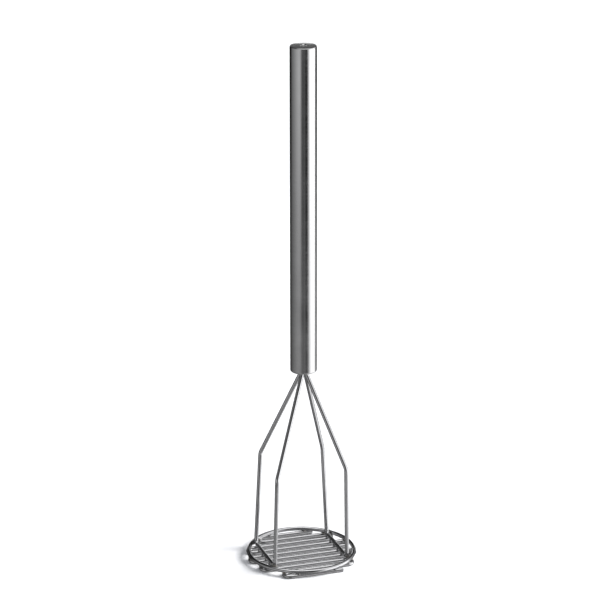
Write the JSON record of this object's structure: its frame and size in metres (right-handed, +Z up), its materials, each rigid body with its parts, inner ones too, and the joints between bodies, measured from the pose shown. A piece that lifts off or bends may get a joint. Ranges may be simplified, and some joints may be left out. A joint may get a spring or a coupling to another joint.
{
  "type": "potato masher",
  "caption": "Long-handled stainless steel masher: round grid of bent wire in a rim ring, carried by two bent wire leg frames under a straight capped tube handle.",
  "frame": {"origin": "on the worktop, under the middle of the rim", "axes": "+Z up along the handle; +X along the grid's runs, towards the two cut ends of the grid wire"},
  "size_m": [0.1275, 0.127, 0.6106],
  "materials": {
    "handle_steel": "satin polished along the tube, austenitic stainless steel",
    "cap_steel": "turned and buffed, austenitic stainless steel",
    "wire_steel": "bright drawn, electropolished, austenitic stainless steel",
    "weld_steel": "as welded, pickled, stainless steel"
  },
  "bodies": {
    "root": {"handle_tube": "handle_steel", "top_cap": "cap_steel", "bottom_cap": "cap_steel", "leg_frame_left": "wire_steel", "leg_frame_right": "wire_steel", "rim_ring": "wire_steel", "grid_wire": "wire_steel", "wire_plug_weld": "weld_steel", "foot_welds": "weld_steel", "rim_welds": "weld_steel", "crossbar_welds": "weld_steel"}
  },
  "joints": []
}
